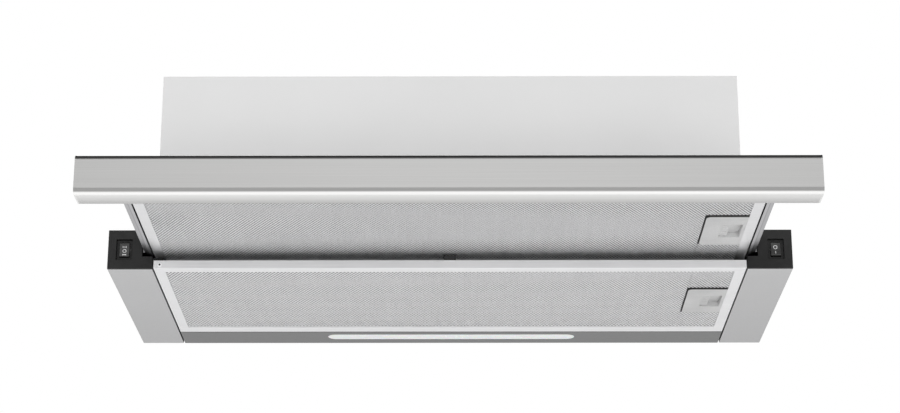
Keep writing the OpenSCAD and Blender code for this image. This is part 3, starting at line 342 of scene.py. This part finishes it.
def drawn_aluminium():
    """Extruded and satin anodised, with drawing lines along the rail, and bands of painted light and shade
    across its width: a lighter foot, a painted shadow line beside it and a darker outer part.
    """
    metal = Finish("rail_aluminium_painted_bands", (0.40, 0.40, 0.41), 0.32, 1.0)
    lines = metal.noise((0.0003, 0.25, 0.0003), 3.0)
    metal.shade(lines, 0.95, 1.05)
    # Painted light and shade across the rail's width: the foot lighter, a painted shadow line at its edge,
    # the outer part darker.
    across = add_node(metal.tree, "SeparateXYZ", i0=metal.where).outputs["X"]
    across = add_node(metal.tree, "Math", operation="ABSOLUTE", i0=across).outputs[0]
    across_rail_place = add_node(metal.tree, "MapRange", Value=across, From_Min=0.2598, From_Max=0.2662)
    painted_light_bands = add_node(metal.tree, "ValToRGB", Fac=across_rail_place.outputs[0])
    set_stops(painted_light_bands, ((0.0, 1.15), (0.28, 1.15), (0.36, 0.62), (0.5, 0.75), (0.6, 0.95), (1.0, 0.85)))
    metal.shade(painted_light_bands.outputs[0], 0.0, 1.0, 0.0, 1.0)
    metal.gloss(lines, 0.29, 0.37)
    metal.relief(lines, 0.00002, 0.35)
    return metal.done()


def filter_aluminium(name, level, gloss, metallic):
    """Rolled aluminium strip, washed a few times: satin with faint clouds and marks."""
    metal = Finish(name, (level, level, level * 1.01), gloss, metallic)
    metal.shade(metal.noise(0.035, 3.0), 0.975, 1.025)
    metal.shade(metal.noise((0.04, 0.0008, 0.0008), 3.0), 0.97, 1.03)
    metal.gloss(metal.noise(0.01, 3.0), gloss, gloss + 0.08)
    metal.relief(metal.noise(0.0009), 0.00002, 0.4)
    return metal.done()


def punched_aluminium():
    """The perforated sheet: bright rolled strip, hardly dulled between its holes."""
    metal = Finish("filter_aluminium_punched", (0.97, 0.97, 0.98), 0.31, 0.8)
    metal.shade(metal.noise(0.05, 3.0), 0.97, 1.02)
    metal.gloss(metal.noise(0.012, 3.0), 0.3, 0.34)
    metal.relief(metal.noise(0.0009), 0.00001, 0.3)
    return metal.done()


def knitted_mesh():
    """Pleated grease mesh: expanded aluminium foil, a lattice of lighter strands over dark gaps; the foil's
    colour is kept dark all over as painted shade, for the mesh lying in shadow behind the perforated sheet.
    """
    # The dark base colour is painted shade: the foil is darkened so that it reads as shadow through the
    # perforated sheet's holes.
    mesh = Finish("grease_mesh_foil_painted_shade", (0.15, 0.15, 0.155), 0.42, 1.0)
    one = mesh.waves(0.0022, (0, 0, radians(32)))
    other = mesh.waves(0.0022, (0, 0, radians(-32)))
    strands = add_node(mesh.tree, "Math", operation="MAXIMUM", i0=one, i1=other).outputs[0]
    mesh.shade(strands, 0.12, 1.1, 0.35, 0.85)
    mesh.shade(mesh.noise(0.012, 3.0), 0.85, 1.1)
    mesh.relief(strands, 0.0003, 0.8)
    return mesh.done()


def lacquered_iron():
    """Stacked laminations under a red brown lacquer."""
    iron = Finish("stator_iron_lacquered", (0.30, 0.13, 0.08), 0.4, 0.25)
    sheets = iron.waves((0.0005, 1.0, 1.0))
    iron.shade(sheets, 0.7, 1.15, 0.0, 1.0)
    iron.shade(iron.noise(0.004, 3.0), 0.85, 1.15)
    iron.relief(sheets, 0.00008, 0.8)
    return iron.done()


def milky_plastic():
    """The lamp's lens: milky acrylic that lets its light spread, with a faint emission that paints the lens
    brighter; the lamp itself is not lit.
    """
    lens = Finish("lens_plastic_milky_painted_glow", (0.93, 0.93, 0.93), 0.22)
    lens.shade(lens.noise(0.02), 0.985, 1.01)
    lens.gloss(lens.noise(0.003, 2.0), 0.18, 0.28)
    lens.relief(lens.noise(0.0009), 0.00002, 0.4)
    lens.set(Subsurface_Weight=0.35, Subsurface_Scale=0.003)
    # A faint emission: painted glow on the lens, not light from the lamp.
    lens.set(Emission_Color=(1, 1, 1, 1), Emission_Strength=0.11)
    return lens.done()


def smooth_plastic(name, colour, gloss, clouds=0.02):
    """Polished mould finish with the faint flow marks of the melt."""
    plastic = Finish(name, colour, gloss)
    plastic.shade(plastic.noise(clouds), 0.94, 1.06)
    plastic.gloss(plastic.noise(0.003, 3.0), gloss - 0.05, gloss + 0.07)
    plastic.relief(plastic.noise(0.0011), 0.00002, 0.35)
    return plastic.done()


def brass():
    metal = Finish("tab_brass_bright", (0.72, 0.55, 0.25), 0.28, 1.0)
    metal.shade(metal.noise(0.0015, 3.0), 0.85, 1.08)
    metal.gloss(metal.noise(0.0007, 2.0), 0.22, 0.4)
    metal.relief(metal.noise(0.0005), 0.00001, 0.4)
    return metal.done()


def rubber(name, level):
    soft = Finish(name, (level, level, level), 0.62)
    soft.shade(soft.noise(0.004, 3.0), 0.85, 1.15)
    soft.gloss(soft.noise(0.002), 0.55, 0.72)
    soft.relief(soft.noise(0.0005, 3.0), 0.00004, 0.6)
    return soft.done()


FINISHES = {
    "box_paint": powder_coat("box_paint_coat", 0.715),
    "cover_paint": silver_paint("cover_paint_silver", 0.445, 0.92, 0.29),
    "panel_paint": silver_paint("panel_paint_grey", 0.145, 0.8, 0.29),
    "switch_box_plastic": grained_plastic("switch_box_grained", (0.014, 0.014, 0.014), 0.5),
    "switch_plastic": smooth_plastic("switch_plastic_black", (0.007, 0.007, 0.007), 0.45),
    "rocker_plastic": smooth_plastic("rocker_plastic_black", (0.045, 0.045, 0.045), 0.3),
    "tab_brass": brass(),
    "bar_steel": brushed_steel(),
    "sheet_steel": zinc_sheet(),
    "small_steel": bright_steel(),
    "rail_aluminium": drawn_aluminium(),
    "filter_aluminium": filter_aluminium("filter_aluminium_satin", 0.84, 0.42, 0.2),
    "grease_mesh": knitted_mesh(),
    "latch_plastic": grained_plastic("latch_plastic_grey", (0.60, 0.60, 0.60), 0.42, 0.0005, 0.00003),
    "lens_plastic": milky_plastic(),
    "led_white": smooth_plastic("led_white_solder_mask", (0.85, 0.85, 0.83), 0.35),
    "glide_nylon": smooth_plastic("glide_nylon_natural", (0.80, 0.79, 0.75), 0.45),
    "pad_rubber": rubber("pad_rubber_black", 0.03),
    "casing_plastic": grained_plastic("casing_plastic_grey", (0.40, 0.42, 0.45), 0.5, 0.0010),
    "motor_paint": powder_coat("motor_paint_grey", 0.28, 0.45),
    "stator_iron": lacquered_iron(),
    "box_plastic": grained_plastic("box_plastic_grey", (0.70, 0.70, 0.70), 0.45),
    "outlet_plastic": grained_plastic("outlet_plastic_dark", (0.05, 0.05, 0.05), 0.5, 0.0009),
}
MARK_WHITE = smooth_plastic("mark_print_white", (0.62, 0.62, 0.62), 0.5, 0.001)
PUNCHED = punched_aluminium()
DRAWER_STRIP = filter_aluminium("filter_aluminium_bright", 0.66, 0.28, 0.85)
RIVET = filter_aluminium("small_steel_nickel", 0.97, 0.32, 0.1)


def dress_nodes():
    for name, node in frame["nodes"].items():
        finish = DRAWER_STRIP if name == "front_filter_frame" else FINISHES[slot_of[name]]
        node.data.materials.clear()
        node.data.materials.append(finish)


# ---- Making pieces ----

def finished(name, bm, body, slot, finish=None, sharp=35):
    """Turns a bmesh into a piece with its finish that rides on a body."""
    mesh = bpy.data.meshes.new(name)
    bm.to_mesh(mesh)
    bm.free()
    mesh.materials.append(finish or FINISHES[slot])
    for face in mesh.polygons:
        face.use_smooth = True
    mesh.set_sharp_from_angle(angle=radians(sharp))
    piece = bpy.data.objects.new(name, mesh)
    scene.collection.objects.link(piece)
    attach(piece, body)
    return piece


def merged(node):
    """A CAD node's loose triangles, joined at their corners."""
    bm = bmesh.new()
    bm.from_mesh(frame["nodes"][node].data)
    bmesh.ops.remove_doubles(bm, verts=bm.verts, dist=2e-6)
    return bm


def eased(node, width, segments=2, angle=40):
    """A merged copy of a CAD node with its edges eased, which stands for the node."""
    bm = merged(node)
    bmesh.ops.dissolve_limit(
        bm, angle_limit=radians(0.4), verts=bm.verts, edges=bm.edges, use_dissolve_boundaries=False
    )
    piece = finished(node + "_eased", bm, body_of[node], slot_of[node])
    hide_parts(node)
    bevel = piece.modifiers.new("edges", "BEVEL")
    bevel.width = width
    bevel.segments = segments
    bevel.limit_method = "ANGLE"
    bevel.angle_limit = radians(angle)
    bevel.harden_normals = True
    return piece


# ---- Front bar ----

def front_bar():
    """The bar's folded sheet, with its upper and lower front edges rounded."""
    low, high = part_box("front_bar")
    bm = bmesh.new()
    corners = [(low.y, low.z), (high.y, low.z), (high.y, high.z), (low.y, high.z)]
    outline = bm.faces.new([bm.verts.new((low.x, y, z)) for y, z in corners])
    bm.verts.ensure_lookup_table()
    low_round, top_round = 5 * MM, 4.4 * MM
    for corner, radius in ((bm.verts[0], low_round), (bm.verts[3], top_round)):
        bmesh.ops.bevel(
            bm, geom=[corner], offset=radius, segments=12, profile=0.5, affect="VERTICES", material=-1
        )
    outline = bm.faces[:]
    grown = bmesh.ops.extrude_face_region(bm, geom=outline)["geom"]
    ends = [v for v in grown if isinstance(v, bmesh.types.BMVert)]
    bmesh.ops.translate(bm, vec=(high.x - low.x, 0, 0), verts=ends)
    open_back = [f for f in bm.faces if all(abs(v.co.y - high.y) < 1e-6 for v in f.verts)]
    sides = [f for f in bm.faces if len({round(v.co.x, 6) for v in f.verts}) == 1]
    bmesh.ops.delete(bm, geom=open_back + sides, context="FACES")
    bmesh.ops.recalc_face_normals(bm, faces=bm.faces)
    piece = finished("front_bar_sheet", bm, "drawer", "bar_steel", sharp=60)
    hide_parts("front_bar")
    wall = piece.modifiers.new("wall", "SOLIDIFY")
    wall.thickness = 1 * MM
    wall.offset = -1
    flat = piece.modifiers.new("flat_faces", "WEIGHTED_NORMAL")
    flat.keep_sharp = True
    return piece


# ---- Perforated sheets ----

def perforated_lattice(low, high, pitch, hole):
    """One flat sheet of six-sided cells, each with a six-sided hole, in staggered rows."""
    bm = bmesh.new()
    bmesh.ops.create_circle(bm, segments=6, radius=pitch / sqrt(3))
    bmesh.ops.rotate(bm, matrix=Matrix.Rotation(radians(30), 3, "Z"), verts=bm.verts)
    rim = bm.edges[:]
    made = bmesh.ops.create_circle(bm, segments=6, radius=hole)["verts"]
    hole_edges = list({e for v in made for e in v.link_edges})
    bmesh.ops.bridge_loops(bm, edges=rim + hole_edges)
    middle = (low + high) / 2
    row = pitch * sqrt(3) / 2
    half = (int((high.x - low.x) / pitch / 2) + 2, int((high.y - low.y) / row / 4) + 1)

    def doubled(count, step):
        done = 1
        while done < count:
            more = bmesh.ops.duplicate(bm, geom=bm.verts[:] + bm.edges[:] + bm.faces[:])["geom"]
            new = [v for v in more if isinstance(v, bmesh.types.BMVert)]
            bmesh.ops.translate(bm, vec=step * done, verts=new)
            done *= 2
            bmesh.ops.remove_doubles(bm, verts=bm.verts, dist=1e-6)
        return done

    across = doubled(2 * half[0], Vector((pitch, 0, 0)))
    start = -pitch * (across // 2)
    more = bmesh.ops.duplicate(bm, geom=bm.verts[:] + bm.edges[:] + bm.faces[:])["geom"]
    new = [v for v in more if isinstance(v, bmesh.types.BMVert)]
    bmesh.ops.translate(bm, vec=(pitch / 2, row, 0), verts=new)
    bmesh.ops.remove_doubles(bm, verts=bm.verts, dist=1e-6)
    pairs = doubled(2 * half[1], Vector((0, 2 * row, 0)))
    bmesh.ops.translate(
        bm, vec=(middle.x + start, middle.y - row * 2 * (pairs // 2), low.z), verts=bm.verts
    )
    return bm


def cut_to(bm, low, high):
    """Cuts a flat sheet to the rectangle between two corners."""
    for point, normal in (
        ((low.x, 0, 0), (-1, 0, 0)), ((high.x, 0, 0), (1, 0, 0)),
        ((0, low.y, 0), (0, -1, 0)), ((0, high.y, 0), (0, 1, 0)),
    ):
        bmesh.ops.bisect_plane(
            bm, geom=bm.verts[:] + bm.edges[:] + bm.faces[:], dist=1e-7,
            plane_co=point, plane_no=normal, clear_outer=True,
        )


def perforated_sheet(node, latch, body, pitch, hole):
    """The filter's perforated sheet, in parts round the latch plate's opening."""
    low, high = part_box(node)
    latch_low, latch_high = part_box(latch)
    gap = Vector((1.2, 1.0)) * MM
    front_gap = 2.8 * MM
    sheet = 0.15 * MM
    third = (latch_low.x - low.x) / 3
    parts = {
        "left": ((low.x, low.y), (low.x + third, high.y)),
        "middle": ((low.x + third, low.y), (low.x + 2 * third, high.y)),
        "right": ((low.x + 2 * third, low.y), (latch_low.x - gap.x, high.y)),
        "corner_front": ((latch_low.x - gap.x, low.y), (high.x, latch_low.y - front_gap)),
        "corner_rear": ((latch_low.x - gap.x, latch_high.y + gap.y), (high.x, high.y)),
    }
    lattice = perforated_lattice(low, high, pitch, hole)
    for part, (start, end) in parts.items():
        bm = lattice.copy()
        cut_to(bm, Vector((*start, 0)), Vector((*end, 0)))
        for face in bm.faces:
            if face.normal.z > 0:
                face.normal_flip()
        piece = finished(f"{body}_perforated_{part}", bm, body, "filter_aluminium", PUNCHED)
        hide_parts(node)
        wall = piece.modifiers.new("wall", "SOLIDIFY")
        wall.thickness = sheet
        wall.offset = -1
    lattice.free()


def latch_shadow_strip(plate, body):
    """A dark strip along a latch plate's front and left edges, round its corner: painted shadow in the gap
    between the plate and the perforated sheet.
    """
    low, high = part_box(plate)
    plate_round, rear_end, height = 4 * MM, 5 * MM, 2.6 * MM
    corner = Vector((low.x + plate_round, low.y + plate_round))
    rails = []
    for beside, before in ((0.1, 0.1), (0.6, 1.7)):
        radii = (plate_round + beside * MM, plate_round + before * MM)
        arc = [
            (corner.x - radii[0] * sin(turn), corner.y - radii[1] * cos(turn))
            for turn in (radians(15 * step) for step in range(7))
        ]
        rails.append([(high.x, arc[0][1]), *arc, (arc[-1][0], high.y - rear_end)])
    bm = bmesh.new()
    inner, outer = [[bm.verts.new((x, y, low.z)) for x, y in rail] for rail in rails]
    for a, b, c, d in zip(inner, inner[1:], outer[1:], outer):
        bm.faces.new((a, b, c, d))
    grown = bmesh.ops.extrude_face_region(bm, geom=bm.faces[:])["geom"]
    top = [v for v in grown if isinstance(v, bmesh.types.BMVert)]
    bmesh.ops.translate(bm, vec=(0, 0, height), verts=top)
    bmesh.ops.recalc_face_normals(bm, faces=bm.faces)
    # The strip takes the black rubber finish as a painted shadow in the gap.
    finished(body + "_latch_shadow_strip", bm, body, "pad_rubber")


def latch_spring(node):
    """A latch's spring, which shortens towards its wall as the slider is pressed back; here it is a merged
    copy of its node with a mesh of its own, and nothing makes it shorten.
    """
    wire = finished(node + "_wire", merged(node), body_of[node], slot_of[node], sharp=60)
    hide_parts(node)
    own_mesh(wire)


# ---- Rockers' marks ----

def on_rocker(bm, joint, tilt):
    """Lays flat marks on the dished face of a rocker that is tipped by an angle."""
    raised = 0.06 * MM
    bmesh.ops.bisect_plane(
        bm, geom=bm.verts[:] + bm.edges[:] + bm.faces[:], dist=1e-7, plane_co=(0, 0, 0), plane_no=(0, 0, 1)
    )
    shell = bmesh.ops.extrude_face_region(bm, geom=bm.faces[:])["geom"]
    outer = {v for v in shell if isinstance(v, bmesh.types.BMVert)}
    for vert in bm.verts:
        dish = 1.2 * MM * abs(vert.co.z) / (5.6 * MM)
        vert.co.y = -1.5 * MM - dish - (raised if vert in outer else -raised)
    bmesh.ops.rotate(bm, matrix=Matrix.Rotation(radians(tilt), 3, "X"), verts=bm.verts)
    bmesh.ops.translate(bm, vec=pivot_of[joint], verts=bm.verts)
    bmesh.ops.recalc_face_normals(bm, faces=bm.faces)
    return bm


def add_bar(bm, x, z, width, height):
    made = bmesh.ops.create_grid(bm, x_segments=1, y_segments=1, size=0.5)["verts"]
    bmesh.ops.scale(bm, vec=(width * MM, height * MM, 1), verts=made)
    bmesh.ops.rotate(bm, matrix=Matrix.Rotation(radians(90), 3, "X"), verts=made)
    bmesh.ops.translate(bm, vec=(x * MM, 0, z * MM), verts=made)


def add_ring(bm, x, z, radius, width):
    loops = [
        bmesh.ops.create_circle(bm, segments=32, radius=r * MM)["verts"] for r in (radius, radius - width)
    ]
    bmesh.ops.bridge_loops(bm, edges=list({e for loop in loops for v in loop for e in v.link_edges}))
    made = loops[0] + loops[1]
    bmesh.ops.rotate(bm, matrix=Matrix.Rotation(radians(90), 3, "X"), verts=made)
    bmesh.ops.translate(bm, vec=(x * MM, 0, z * MM), verts=made)


def rocker_marks():
    """Speed: one bar, a ring and two bars. Light: a ring and a bar."""
    speed = bmesh.new()
    for z, thick in ((2.5, 0.45), (-4.7, 0.8)):
        add_bar(speed, 0, z, 2.5, thick)
        for side in (-1, 1):
            add_bar(speed, side * 1.45, z, 0.4, 1.5)
    add_ring(speed, 0, -1.1, 1.75, 0.55)
    finished(
        "speed_rocker_marks", on_rocker(speed, "speed_rocker", 0),
        "speed_rocker", "rocker_plastic", MARK_WHITE,
    )
    light = bmesh.new()
    add_ring(light, -0.2, 1.6, 1.8, 0.6)
    add_bar(light, -0.2, -3.6, 0.5, 2.6)
    finished(
        "light_rocker_marks", on_rocker(light, "light_rocker", -10),
        "light_rocker", "rocker_plastic", MARK_WHITE,
    )


# ---- Hinge pins ----

def hinge_pins():
    """The rear filter's two pins; the front one ends in a domed rivet head with a hollow centre, and a
    black plug set in the hollow paints its shade.
    """
    low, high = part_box("filter_hinge_pins")
    middle = Vector(pivot_of["rear_filter_hinge"])
    reach = 5.5 * MM
    pin, head = 1.5 * MM, (high.z - low.z) / 2
    for name, face, inward in (("front", low.y, 1), ("rear", high.y, -1)):
        profile = [
            (0.0, 2.6), (0.58, 2.6), (0.60, 0.1), (0.68, 0.02), (0.95, 0.0), (1.15, 0.06),
            (head / pin * 0.96, 0.2), (head / pin, 0.34), (head / pin, 0.5),
        ] if inward > 0 else [(0.0, 0.0), (0.85, 0.0), (0.97, 0.12)]
        points = [(r * pin, face + inward * y * MM) for r, y in profile]
        points += [(pin, points[-1][1]), (pin, face + inward * reach), (0.0, face + inward * reach)]
        bm = bmesh.new()
        turned(bm, points)
        bmesh.ops.translate(bm, vec=(middle.x, 0, middle.z), verts=bm.verts)
        piece = finished(f"hinge_pin_{name}", bm, "rear_filter", "small_steel", RIVET)
        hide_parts("filter_hinge_pins")
    # A black plug inside the rivet head's hollow: painted shade in the hole.
    hole_shade = bmesh.new()
    near, far, wide = low.y + 0.3 * MM, low.y + 2 * MM, 0.56 * pin
    turned(hole_shade, [(0.0, near), (wide, near), (wide, far), (0.0, far)])
    bmesh.ops.translate(hole_shade, vec=(middle.x, 0, middle.z), verts=hole_shade.verts)
    finished("hinge_pin_hole_shade", hole_shade, "rear_filter", "pad_rubber")


def turned(bm, profile, segments=32):
    """Spins a profile of (radius, along) points round the Y axis into a closed shape."""
    verts = [bm.verts.new((r, y, 0)) for r, y in profile]
    edges = [bm.edges.new(pair) for pair in zip(verts, verts[1:]) if pair[0].co != pair[1].co]
    bmesh.ops.spin(
        bm, geom=verts + edges, cent=(0, 0, 0), axis=(0, 1, 0), angle=2 * pi, steps=segments, use_merge=True
    )
    bmesh.ops.remove_doubles(bm, verts=bm.verts, dist=1e-6)
    bmesh.ops.recalc_face_normals(bm, faces=bm.faces)


def main():
    set_camera()
    set_world()
    add_lamp("front_soft", (-0.8, -2.6, 0.8), (0, 0, 0.05), (2.4, 1.6), 17)
    add_lamp("low_soft", (0.4, -1.9, -0.8), (0, 0, 0), (2.2, 0.7), 14)
    add_floor()
    dress_nodes()
    front_bar()
    perforated_sheet("front_filter_mesh", "front_latch_plate", "drawer", 3.0 * MM, 1.11 * MM)
    perforated_sheet("rear_filter_mesh", "rear_latch_plate", "rear_filter", 3.245 * MM, 1.2 * MM)
    latch_shadow_strip("front_latch_plate", "drawer")
    latch_shadow_strip("rear_latch_plate", "rear_filter")
    latch_spring("front_latch_spring")
    latch_spring("rear_latch_spring")
    rocker_marks()
    hinge_pins()
    for node, width in (
        ("motor_box", 0.8), ("side_cover_left", 0.6), ("side_cover_right", 0.6),
        ("switch_box_left", 0.4), ("switch_box_right", 0.4), ("rear_panel", 0.4),
        ("front_latch_plate", 0.3), ("rear_latch_plate", 0.3),
        ("front_latch_slider", 0.25), ("rear_latch_slider", 0.25),
        ("speed_rocker", 0.3), ("light_rocker", 0.3),
        ("speed_switch_body", 0.25), ("light_switch_body", 0.25),
    ):
        eased(node, width * MM)


main()
scene.view_settings.view_transform = "Standard"
